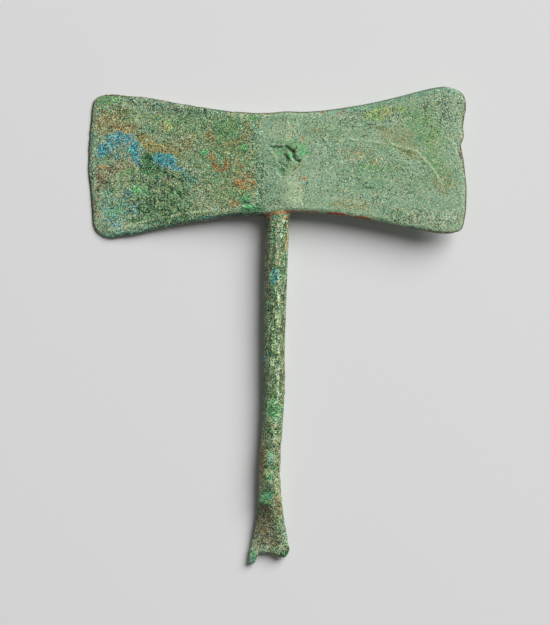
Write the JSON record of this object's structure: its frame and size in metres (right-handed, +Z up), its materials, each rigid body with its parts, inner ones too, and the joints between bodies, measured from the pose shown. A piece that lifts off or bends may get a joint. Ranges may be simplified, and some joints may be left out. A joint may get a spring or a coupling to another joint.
{
  "type": "bronze double axe",
  "caption": "Double-bitted axe blade with flared cutting edges and an integral round haft, broken at a splayed, pronged end; patinated.",
  "frame": {"origin": "on the ground, under the middle of the axe's bounding box, with the axe lying on its back", "axes": "+Y up the haft towards the blade, +X along the blade to the right as seen from above, +Z up through the blade's thickness"},
  "size_m": [0.1512, 0.1904, 0.0116],
  "materials": {
    "patinated_bronze": null
  },
  "bodies": {
    "root": {"double_axe": "patinated_bronze"}
  },
  "joints": []
}
